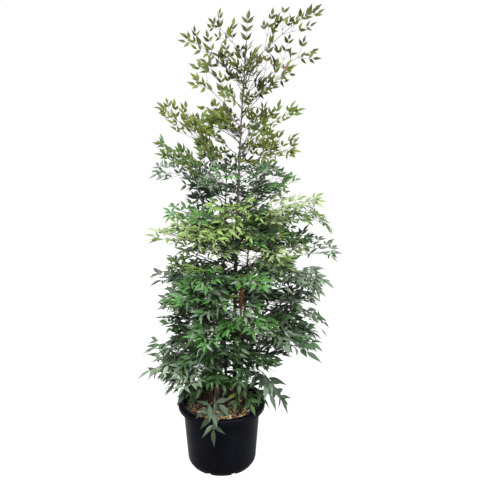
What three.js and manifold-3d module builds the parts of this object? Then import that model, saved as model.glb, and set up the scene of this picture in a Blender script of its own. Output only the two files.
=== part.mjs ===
import * as THREE from 'three';
import { mergeVertices } from 'three/addons/utils/BufferGeometryUtils.js';
import Module from 'manifold-3d';

// A heavenly bamboo grown as a clump of canes in a round nursery pot. Millimetres, +Z up; the origin
// is the centre of the pot's flat underside. Bearings are degrees from +X towards +Y.

// Blow-moulded pot: a tapered wall, a rolled rim that overhangs it, a rounded lower corner, a short foot.
const POT_HEIGHT = 290;
const POT_FOOT_RADIUS = 138;
const POT_BASE_RADIUS = 148;
const POT_SHOULDER_RADIUS = 166;
const POT_RIM_RADIUS = 190;
const POT_RIM_UNDER = 263;
const POT_RIM_DRAFT = 2;
const POT_RIM_ROUND = 7;
const POT_WALL = 4;
const POT_FLOOR = 10;
const POT_FOOT_SPLAY = 3;
const POT_CORNER = 20;
const POT_CORNER_STEPS = 3;
const POT_FACETS = 36;

// Drainage notches round the foot.
const NOTCHES = 8;
const NOTCH_FIRST_BEARING = -112.5;
const NOTCH_WIDTH = 20;
const NOTCH_HEIGHT = 9;
const NOTCH_DEPTH = 20;

// Potting mix fills the pot to a little below the rim.
const SOIL_HEIGHT = 265;

// The clearance between pieces that stand on or against each other.
const GAP = 0.3;

// Canes: six-sided, tapering, flared where they leave the mix.
const CANE_SIDES = 6;
const CANE_RINGS = 6;
const CANE_TIP_SHARE = 0.3;
const FLARE_WIDTH = 5;
const FLARE_HEIGHT = 14;
const FLARE_FADES = 3;

// Sprays: one stem, pairs of side twigs along it, leaflets in threes at the ends of all of them.
const STEM_SIDES = 3;
const FIRST_CORNER = 0.25;
const STEM_RINGS = 4;
const STEM_FOOT_RADIUS = 3.0;
const STEM_TIP_RADIUS = 1.5;
const TWIG_FOOT_RADIUS = 1.0;
const TWIG_TIP_RADIUS = 1.4;
const ARCH = 0.30;
// A pair of side twigs: its place along the stem, its reach as a share of the spray's length, and the
// leaflets on each twig.
const LONG_SPRAY = 290;
const LONG_PAIRS = [[0.27, 0.42, 3], [0.50, 0.36, 3], [0.72, 0.26, 1]];
const PAIRS = [[0.34, 0.46, 3], [0.64, 0.36, 1]];
const SHORT_SPRAY = 170;
const SHORT_PAIRS = [[0.30, 0.46, 1], [0.56, 0.42, 1]];
const SHORT_LEAF_SHARE = 0.75;
const SPREAD_ANGLE = 46;
const SPREAD_VARIES = 8;
const LEAFLET_ANGLE = 50;
const LATERAL_PLACE = 0.62;
const LATERAL_SHARE = 0.88;
const LAST_PAIR_PLACE = 0.8;
const END_PAIR_PLACE = 0.96;
const TWIG_LEAST_SHARE = 0.28;
const REACH_VARIES = 0.12;
const RISE_LEAST = 0.18;
const RISE_MOST = 0.38;
const SPRAY_ROLL = 32;
const LEAF_ROLL = 55;
const END_PAIR_ROLL = 25;
const SEEDS_PER_CANE = 64;
const LEAF_LENGTH_LOW = 128;
const LEAF_LENGTH_HIGH = 70;
const CROWN_TOP = 1800;
const LEAF_WIDTH_SHARE = 0.42;
const LEAF_THICKNESS = 2.4;
const LEAF_BROADEST = 0.42;
const LEAF_THICKEST = 0.14;
const LEAF_ROOT_SINK = 0.5;
const CLEARANCE = 0.9;
const CANE_CLEARANCE = 0.4;
const SHORTEST_EDGE = 0.01;
const THINNEST_FACE = 0.002;
const NUDGES = [0, 0.2, -0.2, 0.4, -0.4].flatMap((d) => [[d, 0, 0], [0, d, 0], [0, 0, d], [d, d, d]]);

// foot: where the cane leaves the mix; tip; bow: how far its middle stands off the straight line;
// radius at the foot; first: height of the lowest spray, the last one crowns the tip and the rest are
// evenly spaced. Each spray is [bearing, how far it reaches out, how far its tip lifts].
const CANES = [
  {
    name: 'tall', foot: [58, 5], tip: [103, 20, 1770], bow: [-15, 0], radius: 9, first: 1000,
    sprays: [
      [10, 330, 70], [-20, 370, 150], [-100, 230, -30], [-15, 280, 120], [30, 250, 30],
      [-110, 230, 50], [-30, 270, 100], [75, 240, 110], [-20, 260, 160], [-130, 200, 80],
      [205, 210, 190], [150, 210, 190], [10, 300, 180], [190, 240, 190], [-15, 290, 240],
      [140, 190, 150], [60, 20, 135],
    ],
  },
  {
    name: 'left', foot: [-8, 35], tip: [26, 30, 1285], bow: [0, 0], radius: 8, first: 930,
    sprays: [
      [215, 350, 120], [-105, 240, 0], [190, 260, 60], [105, 240, 70], [170, 310, 110],
      [195, 290, 190], [170, 280, 270],
    ],
  },
  {
    name: 'side', foot: [-40, -15], tip: [-72, -5, 840], bow: [-5, 0], radius: 7, first: 380,
    sprays: [
      [160, 230, -110], [205, 320, 0], [185, 280, -20], [150, 250, -20], [205, 210, 60],
      [235, 230, 10], [165, 250, -20],
    ],
  },
  {
    name: 'right', foot: [78, 35], tip: [120, 62, 1060], bow: [0, 0], radius: 8, first: 820,
    sprays: [[-10, 400, 140], [-65, 290, 40], [25, 420, -100]],
  },
  {
    name: 'outer', foot: [98, -10], tip: [186, -10, 1000], bow: [-6, 0], radius: 7, first: 400,
    sprays: [[-15, 190, -140], [-35, 340, 10], [10, 330, -100], [-10, 310, -30], [75, 230, 50]],
  },
  {
    name: 'front_left', foot: [-15, -55], tip: [-30, -95, 880], bow: [0, 0], radius: 6, first: 430,
    sprays: [[-93, 184, -222], [215, 180, -30], [-100, 210, -20], [-135, 210, 40], [-95, 210, 0]],
  },
  {
    name: 'front_right', foot: [70, -50], tip: [88, -95, 870], bow: [0, 0], radius: 6, first: 360,
    sprays: [[-60, 140, -50], [-35, 210, -30], [-75, 220, -10], [-62, 210, 10]],
  },
  {
    name: 'back', foot: [20, 80], tip: [0, 150, 925], bow: [0, 0], radius: 7, first: 420,
    sprays: [[60, 220, -60], [85, 200, 20]],
  },
];

const wasm = await Module();
wasm.setup();

const plastic = new THREE.MeshStandardMaterial({ color: 0x16181c, roughness: 0.5, metalness: 0 });
const mix = new THREE.MeshStandardMaterial({ color: 0x6b4a33, roughness: 0.95, metalness: 0 });
const bark = new THREE.MeshStandardMaterial({ color: 0x5d4632, roughness: 0.85, metalness: 0 });
const foliage = new THREE.MeshStandardMaterial({ color: 0x3f6b34, roughness: 0.6, metalness: 0 });

const vec = (x, y, z) => new THREE.Vector3(x, y, z);
const radians = THREE.MathUtils.degToRad;
const lerp = THREE.MathUtils.lerp;

// Seeded numbers, the same on every build.
const DICE_SEED_STEP = 48271;
const DICE_FIRST = 11;
const DICE_STEP = 16807;
const DICE_RANGE = 2147483647;
const dice = (seed) => {
  let state = (seed * DICE_SEED_STEP + DICE_FIRST) % DICE_RANGE;
  return (low, high) => {
    state = (state * DICE_STEP) % DICE_RANGE;
    return low + ((high - low) * state) / DICE_RANGE;
  };
};

const WELD_DISTANCE = 1e-4;

const toSolid = (geometry) => {
  geometry.deleteAttribute('normal');
  geometry.deleteAttribute('uv');
  const merged = mergeVertices(geometry, WELD_DISTANCE);
  return new wasm.Manifold(new wasm.Mesh({
    numProp: 3,
    vertProperties: new Float32Array(merged.attributes.position.array),
    triVerts: new Uint32Array(merged.index.array),
  }));
};

const toMesh = (name, solid, material) => {
  const { vertProperties, triVerts } = solid.getMesh();
  const geometry = new THREE.BufferGeometry();
  geometry.setAttribute('position', new THREE.BufferAttribute(new Float32Array(vertProperties), 3));
  geometry.setIndex(new THREE.BufferAttribute(new Uint32Array(triVerts), 1));
  geometry.computeVertexNormals();
  const mesh = new THREE.Mesh(geometry, material);
  mesh.name = name;
  return mesh;
};

const fromFaces = (points, faces) => {
  const geometry = new THREE.BufferGeometry();
  geometry.setAttribute('position', new THREE.Float32BufferAttribute(points.flatMap((p) => p.toArray()), 3));
  geometry.setIndex(faces.flat());
  return toSolid(geometry);
};

// Whether a solid is one body, with no edge too short and no face too thin to write to a file.
const isSound = (solid) => {
  const { vertProperties, triVerts } = solid.getMesh();
  const corners = Array.from(triVerts, (i) => new THREE.Vector3().fromArray(vertProperties, 3 * i));
  for (let i = 0; i < corners.length; i += 3) {
    const [a, b, c] = corners.slice(i, i + 3);
    const edges = [a.distanceTo(b), b.distanceTo(c), c.distanceTo(a)];
    const height = (2 * new THREE.Triangle(a, b, c).getArea()) / Math.max(...edges);
    if (Math.min(...edges) < SHORTEST_EDGE || height < THINNEST_FACE) {
      return false;
    }
  }
  return solid.decompose().length === 1;
};

// Of the solids that `made` gives as its piece is moved by each nudge in turn, the first sound one;
// `otherwise` where there is none.
const clean = (made, otherwise) => {
  for (const nudge of NUDGES) {
    const solid = made(nudge).asOriginal().simplify(SHORTEST_EDGE);
    if (isSound(solid)) {
      return solid;
    }
  }
  return otherwise;
};

// Turned about the upright axis from a closed profile of [radius, height].
const turned = (profile) => {
  const geometry = new THREE.LatheGeometry(
    profile.map(([radius, height]) => new THREE.Vector2(radius, height)), POT_FACETS,
  );
  geometry.rotateX(Math.PI / 2);
  return toSolid(geometry);
};

// A tapering rod through the centres, one ring of corners at each. Its foot is closed flat, and its
// top too unless it ends in a leaflet's four points.
const rod = (centres, radii, sides, rings, leafEnd = []) => {
  const points = [];
  const faces = [];
  centres.forEach((centre, i) => {
    const [across, along] = rings(i);
    for (let s = 0; s < sides; s += 1) {
      const turn = (2 * Math.PI * (s + FIRST_CORNER)) / sides;
      points.push(centre.clone()
        .addScaledVector(across, radii[i] * Math.cos(turn))
        .addScaledVector(along, radii[i] * Math.sin(turn)));
    }
  });
  const last = (centres.length - 1) * sides;
  const stop = leafEnd.length ? last + sides : last;
  points.push(...leafEnd);
  for (let s = 0; s < sides; s += 1) {
    const next = (s + 1) % sides;
    for (let base = 0; base < stop; base += sides) {
      faces.push([base + s, base + next, base + sides + next]);
      faces.push([base + s, base + sides + next, base + sides + s]);
    }
    if (leafEnd.length) {
      faces.push([stop + s, stop + next, stop + sides]);
    }
  }
  for (let s = 1; s < sides - 1; s += 1) {
    faces.push([0, s + 1, s]);
    if (!leafEnd.length) {
      faces.push([last, last + s, last + s + 1]);
    }
  }
  return fromFaces(points, faces);
};

const curvePoint = (curve, t) => curve[0].clone().multiplyScalar((1 - t) ** 2)
  .addScaledVector(curve[1], 2 * t * (1 - t))
  .addScaledVector(curve[2], t * t);

const curveHeading = (curve, t) => curve[1].clone().sub(curve[0]).multiplyScalar(1 - t)
  .addScaledVector(curve[2].clone().sub(curve[1]), t)
  .normalize();

const turnAbout = (vector, axis, degrees) => vector.clone().applyAxisAngle(axis, radians(degrees));

// The upper face of a spray: square to its heading and to its sideways line.
const upperSide = (heading, side) => heading.clone().cross(side).normalize();

// A twig's heading: off its stem's heading to the left or right by an angle, lifted a little.
const branchHeading = (heading, side, hand, degrees, rise) => {
  const upper = upperSide(heading, side);
  return turnAbout(heading, upper, hand * degrees).addScaledVector(upper, rise).normalize();
};

// A leaflet's four points beyond its root: its two sides, the keel under its middle, and its tip.
const leafPoints = (root, heading, upper, roll, length, margin) => {
  const flat = upper.clone().addScaledVector(heading, -upper.dot(heading)).normalize();
  const normal = turnAbout(flat, heading, roll);
  const across = normal.clone().cross(heading);
  const broad = root.clone().addScaledVector(heading, length * LEAF_BROADEST);
  const halfWidth = (length * LEAF_WIDTH_SHARE) / 2 + margin;
  return [
    broad.clone().addScaledVector(across, halfWidth).addScaledVector(normal, margin),
    broad.clone().addScaledVector(across, -halfWidth).addScaledVector(normal, margin),
    root.clone().addScaledVector(heading, length * LEAF_THICKEST)
      .addScaledVector(normal, -LEAF_THICKNESS - margin),
    root.clone().addScaledVector(heading, length + 2 * margin),
  ];
};

// A three-sided stem or twig; `upper` is the side its end leaflet faces.
const stemRod = (centres, radii, upper, leafEnd) => rod(centres, radii, STEM_SIDES, (i) => {
  const from = centres[Math.max(i - 1, 0)];
  const to = centres[Math.min(i + 1, centres.length - 1)];
  const along = to.clone().sub(from).normalize();
  const across = upper.clone().cross(along).normalize();
  return [across, along.cross(across)];
}, leafEnd);

const level = () => [vec(1, 0, 0), vec(0, 1, 0)];

// A leaflet: flat above, keeled below, pointed at both ends, its root sunk past the twig's middle.
const leaflet = (root, heading, upper, roll, length, margin = 0) => fromFaces(
  [
    root.clone().addScaledVector(heading, -LEAF_ROOT_SINK),
    ...leafPoints(root, heading, upper, roll, length, margin),
  ],
  [[0, 2, 1], [0, 3, 2], [0, 1, 3], [1, 2, 4], [2, 3, 4], [3, 1, 4]],
);

// Cane rings: close together in the flare, then even to the tip.
const caneRod = (cane, margin) => {
  const height = cane.tip[2] - SOIL_HEIGHT;
  const flareTop = (FLARE_FADES * FLARE_HEIGHT) / height;
  const places = [0, flareTop / FLARE_FADES];
  for (let i = 0; i <= CANE_RINGS; i += 1) {
    places.push(lerp(flareTop, 1, i / CANE_RINGS));
  }
  const centres = places.map((t) => curvePoint(cane.curve, t));
  centres[0].z += GAP;
  centres[centres.length - 1].z += margin;
  const radii = places.map((t) => cane.radius * lerp(1, CANE_TIP_SHARE, t)
    + FLARE_WIDTH * Math.exp((-t * height) / FLARE_HEIGHT) + margin);
  return rod(centres, radii, CANE_SIDES, level);
};

const plantCane = (cane) => {
  const foot = vec(cane.foot[0], cane.foot[1], SOIL_HEIGHT);
  const tip = vec(...cane.tip);
  const bow = vec(2 * cane.bow[0], 2 * cane.bow[1], 0);
  const middle = foot.clone().add(tip).multiplyScalar(0.5).add(bow);
  const planted = { ...cane, curve: [foot, middle, tip] };
  return { ...planted, solid: caneRod(planted, 0) };
};

// A spray's plan: the curve of its stem, where its end leaflet starts, and its pairs of side twigs,
// which on a short spray are single leaflets.
const planSpray = (cane, [bearing, reach, lift], index, seed) => {
  const roll = dice(seed);
  const height = lerp(cane.first, cane.tip[2], index / (cane.sprays.length - 1));
  const foot = curvePoint(cane.curve, (height - SOIL_HEIGHT) / (cane.tip[2] - SOIL_HEIGHT));
  const out = vec(Math.cos(radians(bearing)), Math.sin(radians(bearing)), 0);
  const tip = foot.clone().addScaledVector(out, reach).add(vec(0, 0, lift));
  const length = Math.hypot(reach, lift);
  const arch = ARCH * reach * (1 - lift / length);
  const middle = foot.clone().add(tip).multiplyScalar(0.5).add(vec(0, 0, arch));
  const curve = [foot, middle, tip];
  const sideways = vec(-out.y, out.x, 0);
  const rolledSide = turnAbout(sideways, curveHeading(curve, 0.5), roll(-SPRAY_ROLL, SPRAY_ROLL));
  const short = length < SHORT_SPRAY;
  const leaf = lerp(LEAF_LENGTH_LOW, LEAF_LENGTH_HIGH, (height - SOIL_HEIGHT) / (CROWN_TOP - SOIL_HEIGHT))
    * (short ? SHORT_LEAF_SHARE : 1);
  const usual = length > LONG_SPRAY ? LONG_PAIRS : PAIRS;
  const pairs = short ? SHORT_PAIRS : usual;
  const end = 1 - leaf / length;
  const twigs = pairs.flatMap(([place, reachShare, leaflets]) => [-1, 1].map((hand) => ({
    place: Math.min(place, end * LAST_PAIR_PLACE),
    leaflets,
    hand,
    angle: SPREAD_ANGLE + roll(-SPREAD_VARIES, SPREAD_VARIES),
    rise: roll(RISE_LEAST, RISE_MOST),
    reach: length * reachShare * roll(1 - REACH_VARIES, 1 + REACH_VARIES),
    turn: roll(-LEAF_ROLL, LEAF_ROLL),
  })));
  const turn = roll(-LEAF_ROLL, LEAF_ROLL);
  const centres = [];
  for (let i = 0; i < STEM_RINGS; i += 1) {
    centres.push(curvePoint(curve, (end * i) / (STEM_RINGS - 1)));
  }
  return { curve, centres, rolledSide, leaf, twigs, turn, end };
};

// The stem, ending in the spray's end leaflet.
const stemOf = (plan, margin) => {
  const radii = plan.centres.map((centre, i) => margin
    + lerp(STEM_FOOT_RADIUS, STEM_TIP_RADIUS, i / (STEM_RINGS - 1)));
  const start = plan.centres[STEM_RINGS - 1];
  const onward = plan.curve[2].clone().sub(start);
  const heading = onward.clone().normalize();
  const upper = upperSide(heading, plan.rolledSide);
  return stemRod(plan.centres, radii, upper,
    leafPoints(start, heading, upper, plan.turn, onward.length(), margin));
};

// A point on the stem, which is straight from ring to ring.
const onStem = (plan, place) => {
  const along = (place / plan.end) * (STEM_RINGS - 1);
  const ring = Math.min(Math.floor(along), STEM_RINGS - 2);
  return plan.centres[ring].clone().lerp(plan.centres[ring + 1], along - ring);
};

// Everything already standing, so that no twig or leaflet is grown through it.
const standing = [];
const stand = (owner, solid) => standing.push({ owner, solid, box: solid.boundingBox() });

const apart = (a, b) => [0, 1, 2].some((k) => a.max[k] < b.min[k] || b.max[k] < a.min[k]);

const hasRoom = (owner, grown) => {
  const box = grown.boundingBox();
  return !standing.some((other) => other.owner !== owner
    && !apart(box, other.box)
    && !grown.intersect(other.solid).isEmpty());
};

const growLeaflet = (owner, root, heading, upper, roll, length, pieces) => {
  if (hasRoom(owner, leaflet(root, heading, upper, roll, length, CLEARANCE))) {
    pieces.push(leaflet(root, heading, upper, roll, length));
  }
};

// A side twig with leaflets in threes: one straight on from its end, two off its sides.
const growTwig = (owner, start, heading, upper, reach, leaf, roll, pieces) => {
  const twig = Math.max(reach - leaf, leaf * TWIG_LEAST_SHARE);
  const end = start.clone().addScaledVector(heading, twig);
  const twigRod = (margin) => stemRod(
    [start, end],
    [TWIG_FOOT_RADIUS + margin, TWIG_TIP_RADIUS + margin],
    upper,
    leafPoints(end, heading, upper, roll, leaf, margin),
  );
  if (!hasRoom(owner, twigRod(CLEARANCE))) {
    return;
  }
  pieces.push(twigRod(0));
  for (const hand of [-1, 1]) {
    const root = start.clone().addScaledVector(heading, twig * LATERAL_PLACE);
    growLeaflet(owner, root, turnAbout(heading, upper, hand * LEAFLET_ANGLE), upper, -hand * roll,
      leaf * LATERAL_SHARE, pieces);
  }
};

const growSpray = (cane, plan, name) => {
  const aroundCane = caneRod(cane, CANE_CLEARANCE);
  const cutStem = (nudge) => stemOf(plan, 0).translate(nudge).subtract(aroundCane);
  const pieces = [clean(cutStem, cutStem([0, 0, 0]))];
  for (const { place, leaflets, hand, angle, rise, reach, turn } of plan.twigs) {
    const root = onStem(plan, place);
    const heading = curveHeading(plan.curve, place);
    const upper = upperSide(heading, plan.rolledSide);
    const toward = branchHeading(heading, plan.rolledSide, hand, angle, rise);
    if (leaflets === 1) {
      growLeaflet(name, root, toward, upper, turn, reach, pieces);
    } else {
      growTwig(name, root, toward, upper, reach, plan.leaf, turn, pieces);
    }
  }
  for (const hand of [-1, 1]) {
    const place = plan.end * END_PAIR_PLACE;
    const heading = curveHeading(plan.curve, place);
    growLeaflet(name, onStem(plan, place),
      branchHeading(heading, plan.rolledSide, hand, LEAFLET_ANGLE, 0),
      upperSide(heading, plan.rolledSide), hand * END_PAIR_ROLL, plan.leaf * LATERAL_SHARE, pieces);
  }
  const whole = pieces.reduce((sum, piece) => clean(
    (nudge) => sum.add(piece.translate(nudge)),
    sum,
  ));
  stand(name, whole);
  return whole;
};

const potRadius = (height) => lerp(POT_BASE_RADIUS, POT_SHOULDER_RADIUS, height / POT_RIM_UNDER);

const makePot = () => {
  const inside = (height) => potRadius(height) - POT_WALL;
  const footEdge = POT_FOOT_RADIUS + POT_FOOT_SPLAY;
  const cornerTop = NOTCH_HEIGHT + POT_CORNER;
  const corner = [];
  for (let i = 0; i <= POT_CORNER_STEPS; i += 1) {
    const turn = (Math.PI / 2) * (i / POT_CORNER_STEPS);
    corner.push([
      lerp(footEdge, potRadius(cornerTop), Math.sin(turn)),
      lerp(cornerTop, NOTCH_HEIGHT, Math.cos(turn)),
    ]);
  }
  let pot = turned([
    [0, 0],
    [POT_FOOT_RADIUS, 0],
    ...corner,
    [POT_SHOULDER_RADIUS, POT_RIM_UNDER],
    [POT_RIM_RADIUS - POT_RIM_DRAFT, POT_RIM_UNDER],
    [POT_RIM_RADIUS, POT_HEIGHT - POT_RIM_ROUND],
    [POT_RIM_RADIUS - POT_RIM_ROUND, POT_HEIGHT],
    [inside(POT_HEIGHT) + POT_RIM_ROUND, POT_HEIGHT],
    [inside(POT_HEIGHT), POT_HEIGHT - POT_RIM_ROUND],
    [inside(POT_FLOOR), POT_FLOOR],
    [0, POT_FLOOR],
    [0, 0],
  ]);
  for (let i = 0; i < NOTCHES; i += 1) {
    const notch = new THREE.BoxGeometry(2 * NOTCH_DEPTH, NOTCH_WIDTH, 2 * NOTCH_HEIGHT);
    notch.translate(footEdge, 0, 0);
    notch.rotateZ(radians(NOTCH_FIRST_BEARING + (360 / NOTCHES) * i));
    pot = pot.subtract(toSolid(notch));
  }
  return pot;
};

const makeMix = () => {
  const reach = (height) => potRadius(height) - POT_WALL - GAP;
  return turned([
    [0, POT_FLOOR + GAP],
    [reach(POT_FLOOR), POT_FLOOR + GAP],
    [reach(SOIL_HEIGHT), SOIL_HEIGHT],
    [0, SOIL_HEIGHT],
    [0, POT_FLOOR + GAP],
  ]);
};

const plant = new THREE.Group();
plant.name = 'heavenly_bamboo_in_pot';

const pot = makePot();
stand('pot', pot);
plant.add(toMesh('pot', pot, plastic));

const pottingMix = makeMix();
stand('potting_mix', pottingMix);
plant.add(toMesh('potting_mix', pottingMix, mix));

const canes = CANES.map(plantCane);
for (const cane of canes) {
  stand(cane.name, cane.solid);
  plant.add(toMesh(`${cane.name}_cane`, cane.solid, bark));
}

// All the stems stand before the first twig, so a twig of one spray never blocks another's stem.
const sprays = canes.flatMap((cane, c) => cane.sprays.map((spray, i) => ({
  cane,
  plan: planSpray(cane, spray, i, c * SEEDS_PER_CANE + i + 1),
  name: `${cane.name}_spray_${i + 1}`,
})));
for (const { plan, name } of sprays) {
  stand(name, stemOf(plan, 0));
}
for (const { cane, plan, name } of sprays) {
  plant.add(toMesh(name, growSpray(cane, plan, name), foliage));
}

export default plant;
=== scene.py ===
"""A heavenly bamboo shrub, a clump of upright canes in a round black nursery pot. Metres, +Z up;
the origin is the centre of the pot's underside."""
from math import ceil, cos, degrees, exp, hypot, pi, radians, sin, sqrt

import bpy
import numpy as np
from mathutils import Matrix, Vector


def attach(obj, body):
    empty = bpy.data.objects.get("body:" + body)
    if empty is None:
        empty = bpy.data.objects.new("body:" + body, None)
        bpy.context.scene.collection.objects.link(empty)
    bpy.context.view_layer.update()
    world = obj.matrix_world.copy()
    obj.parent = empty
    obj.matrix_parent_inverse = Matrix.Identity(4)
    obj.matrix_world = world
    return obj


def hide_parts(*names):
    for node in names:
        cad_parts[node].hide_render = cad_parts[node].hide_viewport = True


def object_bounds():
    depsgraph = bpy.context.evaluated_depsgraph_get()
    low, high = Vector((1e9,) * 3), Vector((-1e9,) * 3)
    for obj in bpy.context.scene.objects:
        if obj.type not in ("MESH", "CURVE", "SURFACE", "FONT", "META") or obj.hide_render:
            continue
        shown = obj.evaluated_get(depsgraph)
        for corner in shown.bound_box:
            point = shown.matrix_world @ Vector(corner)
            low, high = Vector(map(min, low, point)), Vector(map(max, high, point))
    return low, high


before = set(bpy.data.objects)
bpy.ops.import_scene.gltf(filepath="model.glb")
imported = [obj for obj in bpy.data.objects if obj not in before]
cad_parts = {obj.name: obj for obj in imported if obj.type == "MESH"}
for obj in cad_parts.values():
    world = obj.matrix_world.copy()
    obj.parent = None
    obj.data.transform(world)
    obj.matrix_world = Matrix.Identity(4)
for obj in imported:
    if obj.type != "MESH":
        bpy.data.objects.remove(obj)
cad_box = [list(corner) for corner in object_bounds()]


# --------------------
# The nursery pot: blow-moulded black polyethylene with a rolled rim that overhangs the wall, a
# rounded lower corner and a short foot with eight drainage notches. Satin, with a little dust.

POT_HEIGHT = 0.290
POT_FOOT_RADIUS = 0.138
POT_FOOT_EDGE = 0.141
POT_BASE_RADIUS = 0.148
POT_SHOULDER_RADIUS = 0.166
POT_RIM_RADIUS = 0.190
POT_RIM_UNDER = 0.263
POT_RIM_ROUND = 0.007
POT_RIM_LIP = 0.0025
POT_RIM_UNDERCUT = 0.002
POT_WALL = 0.004
POT_FLOOR = 0.010
POT_CORNER = 0.020
POT_STEPS = 144
CORNER_STEPS = 8
WALL_STEPS = 12
SHARP_POT = 38
NOTCHES = 8
NOTCH_FIRST_BEARING = -112.5
NOTCH_WIDTH = 0.020
NOTCH_HEIGHT = 0.009
NOTCH_DEPTH = 0.020
NOTCH_ROOF = NOTCH_HEIGHT - 0.0005
NOTCH_SIDE_STEP = 0.15
SOIL_HEIGHT = 0.265


def lerp(a, b, t):
    return a + (b - a) * t


def paint(code):
    """The shader's colour for a colour code."""
    shares = [int(code[i:i + 2], 16) / 255 for i in (0, 2, 4)]
    return (*[s / 12.92 if s <= 0.04045 else ((s + 0.055) / 1.055) ** 2.4 for s in shares], 1.0)


def new_object(name, data):
    thing = bpy.data.objects.new(name, data)
    bpy.context.scene.collection.objects.link(thing)
    return thing


def new_piece(name, verts, faces, materials, slots=None, sharp=None):
    """A mesh object, smooth but for edges sharper than `sharp` degrees."""
    mesh = bpy.data.meshes.new(name)
    mesh.from_pydata(verts if isinstance(verts, list) else verts.tolist(), [], faces)
    for material in materials:
        mesh.materials.append(material)
    if slots is not None:
        mesh.polygons.foreach_set("material_index", np.asarray(slots, dtype=np.int32))
    if sharp is not None:
        mesh.shade_smooth()
        mesh.set_sharp_from_angle(angle=radians(sharp))
    mesh.update()
    return new_object(name, mesh)


def fill(tree, node, inputs):
    """Gives each input of a shader node its value, or a link from a socket."""
    for label, value in inputs.items():
        if isinstance(value, bpy.types.NodeSocket):
            tree.links.new(value, node.inputs[label])
        else:
            node.inputs[label].default_value = value


def add_node(tree, kind, inputs, **settings):
    """Adds a shader node and gives its outputs."""
    node = tree.nodes.new(kind)
    for label, value in settings.items():
        setattr(node, label, value)
    fill(tree, node, inputs)
    return node.outputs


def new_group(name, inputs, outputs):
    """A shader node group of number sockets: its tree, and what goes in."""
    group = bpy.data.node_groups.new(name, "ShaderNodeTree")
    for label, default in inputs.items():
        socket = group.interface.new_socket(name=label, in_out="INPUT", socket_type="NodeSocketFloat")
        socket.default_value = default
    for label in outputs:
        group.interface.new_socket(name=label, in_out="OUTPUT", socket_type="NodeSocketFloat")
    return group, add_node(group, "NodeGroupInput", {})


# Uneven patches, stretched along the piece by Stretch: a mask from 0 to 1.
patches, given = new_group("patches", {"Scale": 20.0, "Stretch": 1.0, "From": 0.4, "To": 0.6}, ["Mask"])
place = add_node(patches, "ShaderNodeTexCoord", {})
stretch = add_node(patches, "ShaderNodeCombineXYZ", {"X": 1.0, "Y": 1.0, "Z": given["Stretch"]})
scaled = add_node(patches, "ShaderNodeVectorMath", {0: place["Object"], 1: stretch["Vector"]},
                  operation="MULTIPLY")
noise = add_node(patches, "ShaderNodeTexNoise",
                 {"Vector": scaled["Vector"], "Scale": given["Scale"], "Detail": 5.0})
mask = add_node(patches, "ShaderNodeMapRange",
                {"Value": noise["Fac"], "From Min": given["From"], "From Max": given["To"]})
add_node(patches, "NodeGroupOutput", {"Mask": mask["Result"]})

# Where a Mix node has its two colours and its mixed colour.
MIX_ONE, MIX_OTHER, MIXED = 6, 7, 2


def shade(tree, inputs):
    """Fills inputs of a material's Principled shader."""
    fill(tree, tree.nodes["Principled BSDF"], inputs)


def new_material(name, roughness, specular):
    """A material and its node tree."""
    material = bpy.data.materials.new(name)
    material.use_nodes = True
    shade(material.node_tree, {"Roughness": roughness, "Specular IOR Level": specular})
    return material, material.node_tree


def add_patches(tree, scale, stretch, low, high):
    return add_node(tree, "ShaderNodeGroup", {"Scale": scale, "Stretch": stretch, "From": low, "To": high},
                    node_tree=patches)["Mask"]


def add_mix(tree, mask, one, other):
    """One colour or socket where the mask is 0, the other where it is 1."""
    return add_node(tree, "ShaderNodeMix", {"Factor": mask, MIX_ONE: one, MIX_OTHER: other},
                    data_type="RGBA")[MIXED]


def add_range(tree, value, low, high):
    return add_node(tree, "ShaderNodeMapRange", {"Value": value, "To Min": low, "To Max": high})["Result"]


def add_bump(tree, height, strength, distance):
    return add_node(tree, "ShaderNodeBump",
                    {"Height": height, "Strength": strength, "Distance": distance})["Normal"]


def pot_radius(height):
    return lerp(POT_BASE_RADIUS, POT_SHOULDER_RADIUS, height / POT_RIM_UNDER)


def arc(centre, radius, first, last, steps):
    """Points of [radius, height] round a corner, between two bearings in degrees."""
    turns = [radians(lerp(first, last, i / steps)) for i in range(steps + 1)]
    return [(centre[0] + radius * cos(a), centre[1] + radius * sin(a)) for a in turns]


corner_top = NOTCH_HEIGHT + POT_CORNER
pot_profile = [(0.0, 0.0), (POT_FOOT_EDGE - NOTCH_DEPTH, 0.0), (POT_FOOT_RADIUS, 0.0)]
for i in range(CORNER_STEPS + 1):
    turn = pi / 2 * i / CORNER_STEPS
    pot_profile.append((lerp(POT_FOOT_EDGE, pot_radius(corner_top), sin(turn)),
                        lerp(corner_top, NOTCH_HEIGHT, cos(turn))))
for i in range(1, WALL_STEPS):
    height = lerp(corner_top, POT_RIM_UNDER, i / WALL_STEPS)
    pot_profile.append((pot_radius(height), height))
pot_profile += [
    (POT_SHOULDER_RADIUS, POT_RIM_UNDER),
    *arc((POT_RIM_RADIUS - POT_RIM_UNDERCUT - POT_RIM_LIP, POT_RIM_UNDER + POT_RIM_LIP),
         POT_RIM_LIP, -90, 0, 4),
    *arc((POT_RIM_RADIUS - POT_RIM_ROUND, POT_HEIGHT - POT_RIM_ROUND), POT_RIM_ROUND, 0, 90, 7),
    *arc((pot_radius(POT_HEIGHT) - POT_WALL + POT_RIM_ROUND, POT_HEIGHT - POT_RIM_ROUND),
         POT_RIM_ROUND, 90, 180, 7),
    (pot_radius(SOIL_HEIGHT) - POT_WALL, SOIL_HEIGHT),
    (pot_radius(POT_FLOOR) - POT_WALL, POT_FLOOR),
    (0.0, POT_FLOOR),
]

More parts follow.
